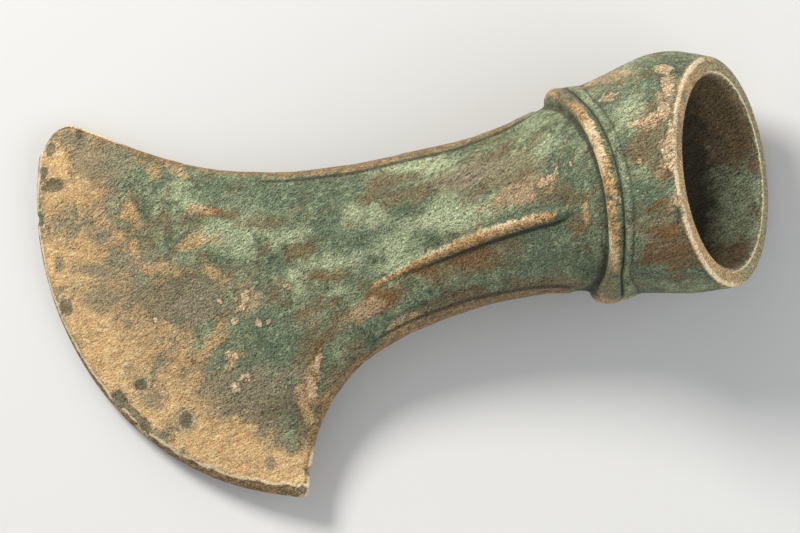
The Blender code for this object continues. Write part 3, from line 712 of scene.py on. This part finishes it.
def build_head_mesh(settings):
    """The whole casting as one closed mesh with its patina's fields."""
    detail = settings.detail
    steps_on = [max(3, round(n * detail)) for n in FACE_STEPS]
    lines = grid_lines(detail)
    reach, angle = head_grid(lines, steps_on)
    outside, fields = head_surface(reach, angle, settings)
    count = outside.shape[1]
    bore, depth = bore_rings(count, detail)
    rim = bore[0] + (outside[0] - bore[0]) * RIM_SHARES[:, None, None]
    rings = np.concatenate([bore[::-1], rim, outside])
    quads = ring_faces(len(rings), count).tolist()
    quads += strip_faces((len(rings) - 1) * count, count)
    quads.append(list(range(count))[::-1])
    mesh = bpy.data.meshes.new("axe_head_skin")
    mesh.from_pydata(in_world(rings).reshape(-1, 3).tolist(), [], quads)

    # What the fields say inside the hollow and on the rim
    inner = np.concatenate([bore[::-1], rim])
    around = np.linspace(0, 2 * math.pi, count, endpoint=False)
    starts = dict.fromkeys(("groove", "side_edge", "small_bead_highlight", "pit", "border"), 0.0)
    starts |= {"near": np.sin(around), "from_edge": FAR_FROM_EDGE, "edge_band": NO_BAND}
    starts["lip"] = np.concatenate([-depth[::-1], MOUTH_WALL * RIM_SHARES])[:, None] / MM
    starts["teal"] = marks_at(inner, BORE_MARKS)
    fields["lip"] = MOUTH_WALL / MM + reach / MM
    for name, values in fields.items():
        start = np.broadcast_to(starts.get(name, NO_MARK), inner.shape[:2])
        column = np.concatenate([start, values]).astype(np.float32).ravel()
        mesh.attributes.new(name, "FLOAT", "POINT").data.foreach_set("value", column)
    mesh.validate()
    mesh.shade_smooth()
    return mesh


# Materials

class Graph:
    """A few short words for building a material's nodes."""

    def __init__(self, name, tones=None):
        self.tones = tones or {}
        self.material = bpy.data.materials.new(name)
        self.material.use_nodes = True
        self.nodes = self.material.node_tree.nodes
        self.links = self.material.node_tree.links
        self.shader = self.nodes["Principled BSDF"]
        self.place = self.nodes.new("ShaderNodeTexCoord").outputs["Object"]

    def put(self, value, socket):
        """Links a socket, or sets a plain number, a colour or a tone given by name."""
        value = self.tones[value] if isinstance(value, str) else value
        if isinstance(value, bpy.types.NodeSocket):
            self.links.new(value, socket)
        elif isinstance(value, tuple):
            socket.default_value = (*value, 1.0)
        else:
            socket.default_value = value

    def field(self, name):
        """A field of the mesh."""
        node = self.nodes.new("ShaderNodeAttribute")
        node.attribute_name = name
        return node.outputs["Fac"]

    def noise(self, size, detail, roughness, seed, stretch=1.0, turn=0.0, shift=(0, 0, 0)):
        """Cloudy noise of a size, drawn out along a direction where stretch is over 1."""
        vector = self.place
        if stretch != 1.0 or any(shift):
            mapping = self.nodes.new("ShaderNodeMapping")
            mapping.vector_type = "TEXTURE"
            mapping.inputs["Location"].default_value = shift
            mapping.inputs["Rotation"].default_value[2] = math.radians(turn)
            mapping.inputs["Scale"].default_value = (stretch, 1.0, 1.0)
            self.links.new(vector, mapping.inputs["Vector"])
            vector = mapping.outputs["Vector"]
        node = self.nodes.new("ShaderNodeTexNoise")
        node.noise_dimensions = "4D"
        node.inputs["W"].default_value = seed
        node.inputs["Scale"].default_value = 1 / size
        node.inputs["Detail"].default_value = detail
        node.inputs["Roughness"].default_value = roughness
        self.links.new(vector, node.inputs["Vector"])
        return node.outputs["Fac"]

    def painted_relief_shade(self, size, seed, stretch, turn, shift):
        """Painted shade: the lit and shaded sides of fine relief as a low light from one side would
        show them, from a noise less its own shifted copy.
        """
        grain = self.noise(size, 4.0, 0.65, seed, stretch, turn)
        copy = self.noise(size, 4.0, 0.65, seed, stretch, turn, shift)
        return self.math("SUBTRACT", grain, copy)

    def math(self, operation, first, second=0.0):
        """One sum with two values."""
        node = self.nodes.new("ShaderNodeMath")
        node.operation = operation
        self.put(first, node.inputs[0])
        self.put(second, node.inputs[1])
        return node.outputs[0]

    def step(self, value, low, high):
        """0 where the value is at low, 1 at high, with an S-curve between."""
        node = self.nodes.new("ShaderNodeMapRange")
        node.interpolation_type = "SMOOTHSTEP"
        self.put(value, node.inputs["Value"])
        node.inputs["From Min"].default_value = low
        node.inputs["From Max"].default_value = high
        return node.outputs["Result"]

    def mix(self, share, first, second, blend="MIX"):
        """The first colour with a share of the second over it."""
        node = self.nodes.new("ShaderNodeMix")
        node.data_type = "RGBA"
        node.blend_type = blend
        self.put(share, node.inputs[0])
        self.put(first, node.inputs[6])
        self.put(second, node.inputs[7])
        return node.outputs[2]

    def over(self, colour, tone, where, share):
        """A colour with a share of a tone over it, where a value is 1."""
        return self.mix(self.times(where, share), colour, tone)

    def swayed(self, value, noise, spread):
        """A value made uneven by a noise."""
        sway = self.math("MULTIPLY", self.math("SUBTRACT", noise, 0.5), spread)
        return self.math("ADD", value, sway)

    def mark(self, name, noise, spread, soft=0.1):
        """Where a mark is, with the ragged edge that a noise gives it."""
        return self.step(self.swayed(self.field(name), noise, spread), -soft, soft)

    def thin_line(self, value, place, width):
        """A thin line where a value passes a place."""
        away = self.math("ABSOLUTE", self.math("SUBTRACT", value, place))
        return self.step(away, width, 0.3 * width)

    def ring(self, name, noise, spread, place, width):
        """A thin ragged line along the outline of a mark."""
        return self.thin_line(self.swayed(self.field(name), noise, spread), place, width)

    def times(self, first, *others):
        """Values multiplied together."""
        for other in others:
            first = self.math("MULTIPLY", first, other)
        return first


class PatinaGraph(Graph):
    """The bronze's material, with its tones by name and the noises that they follow.

    In the functions below, each tone goes over the ones before it. The two numbers of a step are
    where the tone starts to show and where it is full, as values of a noise or of a field, and the
    share after them thins it.
    """

    def __init__(self, look):
        tones = {name: tuple(getattr(look, name)) for name in look.__annotations__}
        super().__init__("patinated_bronze", tones)
        self.stipple = self.noise(0.3 * MM, 2.0, 0.7, 0.0)
        self.small = self.noise(1.1 * MM, 5.0, 0.7, 1.0)
        self.medium = self.noise(4.0 * MM, 7.0, 0.62, 2.0)
        self.broad = self.noise(13 * MM, 6.0, 0.6, 3.0)
        self.streaks = self.noise(3.2 * MM, 7.0, 0.68, 4.0, stretch=2.6, turn=28)
        self.flaky = self.noise(5.5 * MM, 9.0, 0.68, 6.0, stretch=1.5, turn=20)
        self.brushed = self.noise(0.8 * MM, 4.0, 0.6, 5.0, stretch=3.0, turn=14)
        # Millimetres outwards from the edge of the hollow, made ragged
        self.lip = self.swayed(self.field("lip"), self.small, 1.0)


def green_patina(g):
    """Green in several tones, with thin brown showing through it."""
    colour = g.mix(g.step(g.medium, 0.36, 0.6), "green", "sage")
    colour = g.over(colour, "pale", g.step(g.flaky, 0.54, 0.57), 0.4)
    colour = g.over(colour, "green", g.step(g.flaky, 0.43, 0.4), 0.4)
    colour = g.over(colour, "teal", g.step(g.broad, 0.45, 0.6), 0.6)
    colour = g.over(colour, "brown", g.step(g.streaks, 0.53, 0.6), 0.75)
    colour = g.over(colour, "pale", g.mark("pale", g.medium, 2.4, 0.6), 0.6)
    colour = g.over(colour, "teal", g.mark("teal", g.medium, 4.0, 0.5), 0.7)
    colour = g.over(colour, "pale", g.step(g.small, 0.52, 0.66), 0.25)
    colour = g.over(colour, "brown", g.mark("brown", g.streaks, 4.0, 0.4), 0.7)
    colour = g.over(colour, "rust", g.mark("rust", g.streaks, 4.0, 0.4), 0.75)
    return g.over(colour, "tan", g.mark("tan", g.streaks, 5.0, 0.4), 0.62)


def worn_blade(g, colour):
    """The blade, worn towards its edge: gold, then duller gold, then a grey and brown wash."""
    gold = g.mix(g.step(g.streaks, 0.34, 0.6), "ochre", "gold")
    gold = g.over(gold, "bright", g.step(g.brushed, 0.5, 0.7), 0.4)
    gold = g.over(gold, "umber", g.step(g.medium, 0.52, 0.68), 0.2)
    inward = g.step(g.swayed(g.field("from_edge"), g.streaks, 12.0), 9.0, 16.0)
    gold = g.over(gold, "umber", inward, 0.5)
    verge = g.swayed(g.swayed(g.field("gold"), g.broad, 1.6), g.streaks, 2.2)
    wash = g.mix(g.step(g.streaks, 0.44, 0.58), "grey", "umber")
    colour = g.over(colour, wash, g.step(verge, -1.0, -0.15), 0.8)
    worn = g.step(g.swayed(verge, g.small, 1.0), -0.3, 0.5)
    colour = g.over(colour, gold, worn, 0.95)
    ragged_line = g.thin_line(g.swayed(verge, g.small, 2.0), -0.1, 0.07)
    ragged_line = g.times(ragged_line, g.step(g.medium, 0.44, 0.56), 0.4)
    colour = g.mix(ragged_line, colour, "dirt_and_shade")
    colour = g.over(colour, "grey", g.mark("grey", g.streaks, 2.4, 0.45), 0.75)
    colour = g.over(colour, "ochre", g.mark("streak", g.streaks, 7.0, 0.5), 0.65)
    return colour, worn


def worn_crests(g, colour):
    """Crests and borders, where hands and work wore the patina off, with painted highlights on the
    collar, the rib and the small bead.
    """
    crest = g.step(g.swayed(g.field("crest"), g.small, 1.6), 0.15, 0.55)
    bronze = g.mix(g.step(g.small, 0.36, 0.62), "bronze", "ochre")
    # Painted highlight: pale strokes over the worn bronze on the collar and the rib.
    bronze = g.over(bronze, "bright", g.mark("painted_highlight", g.small, 1.6, 0.8), 0.75)
    colour = g.over(colour, bronze, crest, 0.95)
    colour = g.over(colour, "green", g.mark("collar_green", g.small, 2.0, 0.3), 0.75)
    border = g.step(g.swayed(g.field("border"), g.small, 1.6), 0.1, 0.6)
    border_tone = g.mix(g.step(g.small, 0.36, 0.56), "brown", "bronze")
    patchy = g.math("SUBTRACT", 1.0, g.times(g.step(g.flaky, 0.47, 0.43), 0.4))
    colour = g.mix(g.times(border, patchy, 0.85), colour, border_tone)
    # Painted highlight: pale sage along the small bead.
    small_bead_highlight = g.times(g.field("small_bead_highlight"), g.step(g.medium, 0.35, 0.55), 0.4)
    colour = g.mix(small_bead_highlight, colour, "pale")
    return colour, crest


def socket_rim(g, colour):
    """The socket's rim, with a painted highlight along its near outside and its far inside, where
    the light catches its edges.
    """
    on_rim = g.times(g.step(g.lip, -0.3, 0.1), g.step(g.lip, 4.7, 4.3))
    far = g.step(g.field("near"), 0.3, -0.3)
    rim = g.mix(g.step(g.medium, 0.44, 0.64), "ochre", "umber")
    far_rim = g.mix(g.step(g.small, 0.4, 0.6), "umber", "sage")
    rim = g.over(rim, far_rim, far, 0.8)
    colour = g.over(colour, rim, on_rim, 0.9)
    # Painted highlights: a pale line on the near side's outer edge and the far side's inner edge.
    outer = g.thin_line(g.swayed(g.field("lip"), g.small, 0.5), 4.0, 0.4)
    outer = g.times(outer, g.math("SUBTRACT", 1.0, far))
    inner = g.times(g.thin_line(g.lip, 0.3, 0.5), far)
    rim_highlights = g.math("MAXIMUM", outer, inner)
    return g.mix(rim_highlights, colour, "bright")


def cutting_edge(g, colour):
    """The cutting edge's bevel, with a pale line along it and round the horns."""
    band = g.swayed(g.field("edge_band"), g.small, 0.9)
    bevel = g.mix(g.step(g.brushed, 0.42, 0.6), "brown", "bronze")
    colour = g.over(colour, bevel, g.step(band, 0.0, 0.25), 0.9)
    worn_line = g.times(g.thin_line(band, 0.0, 0.5), g.step(g.medium, 0.28, 0.38))
    worn_line = g.math("MAXIMUM", worn_line, g.step(g.field("side_edge"), 0.4, 0.8))
    return g.mix(worn_line, colour, "bright")


def flakes_and_chips(g, colour):
    """Flakes with a dark outline of dirt and painted shadow, chips with a pale outline of wear and
    painted highlight.
    """
    # Painted shadow and dirt: a dark ring round each raised flake.
    colour = g.over(colour, "dirt_and_shade", g.ring("flake", g.small, 3.0, -0.35, 0.3), 0.4)
    flake = g.mix(g.times(g.step(g.small, 0.5, 0.7), 0.7), "tan", "bright")
    colour = g.over(colour, flake, g.mark("flake", g.small, 3.2, 0.2), 0.85)
    # Painted highlight and wear: a pale ring round each chip.
    colour = g.over(colour, "bright", g.ring("chip", g.small, 2.6, -0.12, 0.16), 0.4)
    chip = g.mix(g.step(g.medium, 0.4, 0.6), "grey", "grey_dark")
    return g.over(colour, chip, g.mark("chip", g.small, 2.2, 0.15), 0.85)


def hollows_dirt_and_shade(g, colour, crest):
    """Painted shade and dirt in the grooves, dirt in the pits and cracks, and the inside of the
    socket, darker deeper in as painted shade, with its lower patch painted pale as painted light.
    """
    # Painted shade and dirt along the creases, from the groove field.
    dirt_and_shade = g.times(g.step(g.swayed(g.field("groove"), g.small, 0.8), 0.2, 0.7), 0.8)
    dirt_and_shade = g.math("MAXIMUM", dirt_and_shade, g.times(g.field("pit"), 0.55))
    cracks = g.times(g.thin_line(g.small, 0.5, 0.03), 0.3)
    dirt_and_shade = g.math("MAXIMUM", dirt_and_shade, g.times(cracks, g.math("SUBTRACT", 1.0, crest)))
    colour = g.mix(dirt_and_shade, colour, "dirt_and_shade")
    hollow = g.mix(g.step(g.medium, 0.4, 0.66), "umber", "brown")
    # Painted light: the patch on the hollow's lower wall is painted pale, lighter than its teal.
    hollow = g.over(hollow, "pale", g.mark("teal", g.medium, 4.0, 0.4), 0.9)
    # Painted shade: darker further into the socket.
    deep = g.step(g.swayed(g.field("lip"), g.medium, 12.0), -4.0, -13.0)
    hollow = g.mix(deep, hollow, "dirt_and_shade")
    return g.mix(g.step(g.lip, -0.1, -0.6), colour, hollow)


def grain_and_relief_shade(g, colour, worn):
    """Fine grain as light and dark over the colours, with the painted shade of fine relief lit from
    one side, a little less on the worn blade.
    """
    # The shift runs along the light's direction, so the difference paints a lit and a shaded side
    # on each grain.
    light_offset = (0.07 * MM, -0.12 * MM, 0.0)
    fine_relief_shade = g.painted_relief_shade(0.4 * MM, 7.0, 2.0, 22, light_offset)
    coarse_relief_shade = g.painted_relief_shade(1.3 * MM, 8.0, 1.6, 22, tuple(2 * v for v in light_offset))
    grain = g.swayed(g.swayed(g.swayed(0.5, g.stipple, 1.8), g.brushed, 0.6), g.small, 0.5)
    grain = g.math("ADD", grain, g.times(fine_relief_shade, 2.4))
    grain = g.math("ADD", grain, g.times(coarse_relief_shade, 0.8))
    shade = g.nodes.new("ShaderNodeCombineColor")
    for channel in shade.inputs:
        g.links.new(grain, channel)
    strength = g.math("SUBTRACT", 1.0, g.times(worn, 0.25))
    return g.mix(strength, colour, shade.outputs[0], "OVERLAY")


def set_gloss(g, crest, worn):
    """Bare metal is smoother, and it shines."""
    bare = g.math("MAXIMUM", crest, g.times(worn, 0.4))
    g.put(g.math("SUBTRACT", 0.8, g.times(bare, 0.32)), g.shader.inputs["Roughness"])
    g.put(g.times(bare, 0.45), g.shader.inputs["Metallic"])


def set_bumps(g):
    """Fine bumps all over."""
    relief = g.math("ADD", g.times(g.stipple, 0.7), g.brushed)
    relief = g.math("ADD", relief, g.small)
    relief = g.math("ADD", relief, g.times(g.medium, 1.2))
    bumps = g.nodes.new("ShaderNodeBump")
    bumps.inputs["Strength"].default_value = 1.0
    bumps.inputs["Distance"].default_value = 0.4 * MM
    g.links.new(relief, bumps.inputs["Height"])
    g.links.new(bumps.outputs["Normal"], g.shader.inputs["Normal"])


def patina_material(look):
    """Old bronze: green and brown patina, bare metal where it is worn, dirt and painted shade in
    its hollows, and painted highlights on its rim and crests.
    """
    g = PatinaGraph(look)
    colour, worn = worn_blade(g, green_patina(g))
    colour, crest = worn_crests(g, colour)
    colour = cutting_edge(g, socket_rim(g, colour))
    colour = hollows_dirt_and_shade(g, flakes_and_chips(g, colour), crest)
    g.put(grain_and_relief_shade(g, colour, worn), g.shader.inputs["Base Color"])
    set_gloss(g, crest, worn)
    set_bumps(g)
    return g.material


def floor_material(colour):
    """Plain pale board, in places a touch darker."""
    g = Graph("pale_floor")
    cloud = g.step(g.noise(0.3, 2.0, 0.5, 0.0), 0.3, 0.7)
    darker = tuple(c * 0.985 for c in colour)
    g.put(g.mix(cloud, tuple(colour), darker), g.shader.inputs["Base Color"])
    g.shader.inputs["Roughness"].default_value = 0.85
    return g.material


# Settings

def colour_property(name, description, value):
    """A colour that the user may change."""
    return bpy.props.FloatVectorProperty(
        name=name, description=description, default=value, subtype="COLOR", size=3, min=0, max=1
    )


def length_property(name, description, value):
    """A length that the user may change."""
    return bpy.props.FloatProperty(
        name=name, description=description, default=value, min=0, unit="LENGTH", precision=5
    )


def number_property(name, description, value, unit="NONE"):
    """A number that the user may change."""
    return bpy.props.FloatProperty(
        name=name, description=description, default=value, min=0, unit=unit
    )


class AxeHeadSettings(bpy.types.PropertyGroup):
    """Fineness and unevenness of the head's surface."""
    detail: bpy.props.FloatProperty(
        name="Detail", description="Share of the full mesh", default=1.0, min=0.1, max=1.0,
        subtype="FACTOR",
    )
    crust_height: length_property("Crust height", "Height of the patina's unevenness", 0.07 * MM)
    pit_depth: length_property("Pit depth", "Depth of the scattered pits", 0.16 * MM)
    chip_depth: length_property("Chip depth", "Depth of the chips along the edge", 0.35 * MM)
    flake_height: length_property("Flake height", "Height of the pale flakes", 0.12 * MM)


class PatinaSettings(bpy.types.PropertyGroup):
    """Colours of the patina and of the worn bronze, some of which also paint light and shade."""
    green: colour_property("Green", "Darker green patina", tone(95, 103, 74))
    sage: colour_property("Sage", "Grey-green patina", tone(142, 151, 116))
    teal: colour_property("Teal", "Blue-green patina", tone(86, 104, 80))
    # Also the tone of the painted highlight on the small bead and the painted light on the hollow's
    # patch.
    pale: colour_property("Pale sage", "Lightest green patina", tone(184, 193, 154))
    brown: colour_property("Brown", "Brown patina", tone(116, 98, 68))
    umber: colour_property("Umber", "Dull brown on worn places", tone(150, 128, 94))
    rust: colour_property("Rust", "Red-brown patina", tone(122, 88, 46))
    grey: colour_property("Grey", "Grey patches on the blade", tone(140, 130, 104))
    grey_dark: colour_property("Dark grey", "Inside of the chips", tone(96, 90, 68))
    gold: colour_property("Gold", "Worn bronze", tone(230, 191, 134))
    ochre: colour_property("Ochre", "Dull bronze", tone(201, 163, 112))
    bronze: colour_property("Bronze", "Darker bare bronze", tone(158, 124, 78))
    # Also the tone of the painted highlights on the rim, the collar, the rib and round the chips.
    bright: colour_property("Bright", "Palest worn lines", tone(242, 220, 180))
    tan: colour_property("Tan", "Pale flakes", tone(194, 164, 126))
    # Dark tone of dirt, also painting the shade in the creases, below the rib, round the flakes and
    # deep in the socket.
    dirt_and_shade: colour_property("Dirt", "Dirt in the hollows", tone(54, 48, 32))


class StageSettings(bpy.types.PropertyGroup):
    """Floor, lights and camera."""
    floor_size: length_property("Floor size", "Width of the square floor", 6.0)
    floor_colour: colour_property("Floor colour", "Colour of the floor", (0.7, 0.7, 0.69))
    key_power: number_property("Key light", "Power of the main light", 7.9, "POWER")
    fill_power: number_property("Fill light", "Power of the soft light", 4.9, "POWER")
    sky: number_property("Sky", "Strength of the light from all round", 0.42)
    lens: number_property("Lens", "Focal length of the camera", 300.0, "CAMERA")


# Operators

class AXE_OT_make_head(bpy.types.Operator):
    """Build the axe head with its patina"""
    bl_idname = "axe.make_head"
    bl_label = "Make axe head"

    def execute(self, context):
        mesh = build_head_mesh(context.scene.axe_head)
        head = bpy.data.objects.new("bronze_head", mesh)
        context.scene.collection.objects.link(head)
        mesh.materials.append(patina_material(context.scene.axe_patina))
        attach(head, "root")
        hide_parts("axe_head")
        return {"FINISHED"}


def camera_matrix():
    """Where the camera is in the world."""
    tilt, roll = math.radians(VIEW_TILT_DEG), math.radians(VIEW_ROLL_DEG)
    turn = Matrix.Rotation(roll, 4, "Z") @ Matrix.Rotation(-tilt, 4, "Y")
    return rest_matrix() @ (Matrix.Translation(VIEW_MOUTH) @ turn).inverted()


def add_light(name, place, target, size, power, colour):
    """A round lamp that faces its target."""
    light = bpy.data.lights.new(name, "AREA")
    light.shape = "DISK"
    light.size = size
    light.energy = power
    light.color = colour
    lamp = bpy.data.objects.new(name, light)
    lamp.location = place
    lamp.rotation_euler = (target - place).to_track_quat("-Z", "Y").to_euler()
    bpy.context.scene.collection.objects.link(lamp)


class AXE_OT_make_stage(bpy.types.Operator):
    """Lay the pale floor and set the lights and the camera"""
    bl_idname = "axe.make_stage"
    bl_label = "Make stage"

    def execute(self, context):
        stage = context.scene.axe_stage
        half = stage.floor_size / 2
        mesh = bpy.data.meshes.new("floor")
        corners = [(-half, -half, 0), (half, -half, 0), (half, half, 0), (-half, half, 0)]
        mesh.from_pydata(corners, [], [(0, 1, 2, 3)])
        floor = bpy.data.objects.new("floor", mesh)
        context.scene.collection.objects.link(floor)
        mesh.materials.append(floor_material(stage.floor_colour))

        world = bpy.data.worlds.new("studio")
        world.use_nodes = True
        background = world.node_tree.nodes["Background"]
        background.inputs["Color"].default_value = SKY_COLOUR
        background.inputs["Strength"].default_value = stage.sky
        context.scene.world = world
        context.scene.view_settings.view_transform = "Standard"

        lens = bpy.data.cameras.new("camera")
        lens.sensor_width = 36.0
        lens.lens = stage.lens
        lens.clip_start = 0.01
        lens.clip_end = 100.0
        camera = bpy.data.objects.new("camera", lens)
        camera.matrix_world = camera_matrix()
        context.scene.collection.objects.link(camera)
        context.scene.camera = camera

        look = camera.matrix_world.to_3x3()
        key_at = LIT_POINT + look @ KEY_DIRECTION
        fill_at = LIT_POINT + look @ FILL_DIRECTION
        add_light("key_light", key_at, LIT_POINT, KEY_SIZE, stage.key_power, WARM_WHITE)
        add_light("fill_light", fill_at, LIT_POINT, FILL_SIZE, stage.fill_power, COOL_WHITE)
        return {"FINISHED"}


class AXE_PT_panel(bpy.types.Panel):
    """Settings and steps of the axe head"""
    bl_label = "Axe head"
    bl_idname = "AXE_PT_panel"
    bl_space_type = "VIEW_3D"
    bl_region_type = "UI"
    bl_category = "Axe head"

    def draw(self, context):
        layout = self.layout
        for group in (context.scene.axe_head, context.scene.axe_patina, context.scene.axe_stage):
            box = layout.box()
            for name in group.__annotations__:
                box.prop(group, name)
        layout.operator(AXE_OT_make_head.bl_idname)
        layout.operator(AXE_OT_make_stage.bl_idname)


GROUPS = {"axe_head": AxeHeadSettings, "axe_patina": PatinaSettings, "axe_stage": StageSettings}
CLASSES = (*GROUPS.values(), AXE_OT_make_head, AXE_OT_make_stage, AXE_PT_panel)


def register():
    for item in CLASSES:
        bpy.utils.register_class(item)
    for name, group in GROUPS.items():
        setattr(bpy.types.Scene, name, bpy.props.PointerProperty(type=group))


def unregister():
    for name in GROUPS:
        delattr(bpy.types.Scene, name)
    for item in reversed(CLASSES):
        bpy.utils.unregister_class(item)


def main():
    register()
    bpy.ops.axe.make_head()
    bpy.ops.axe.make_stage()


if __name__ == "__main__":
    main()
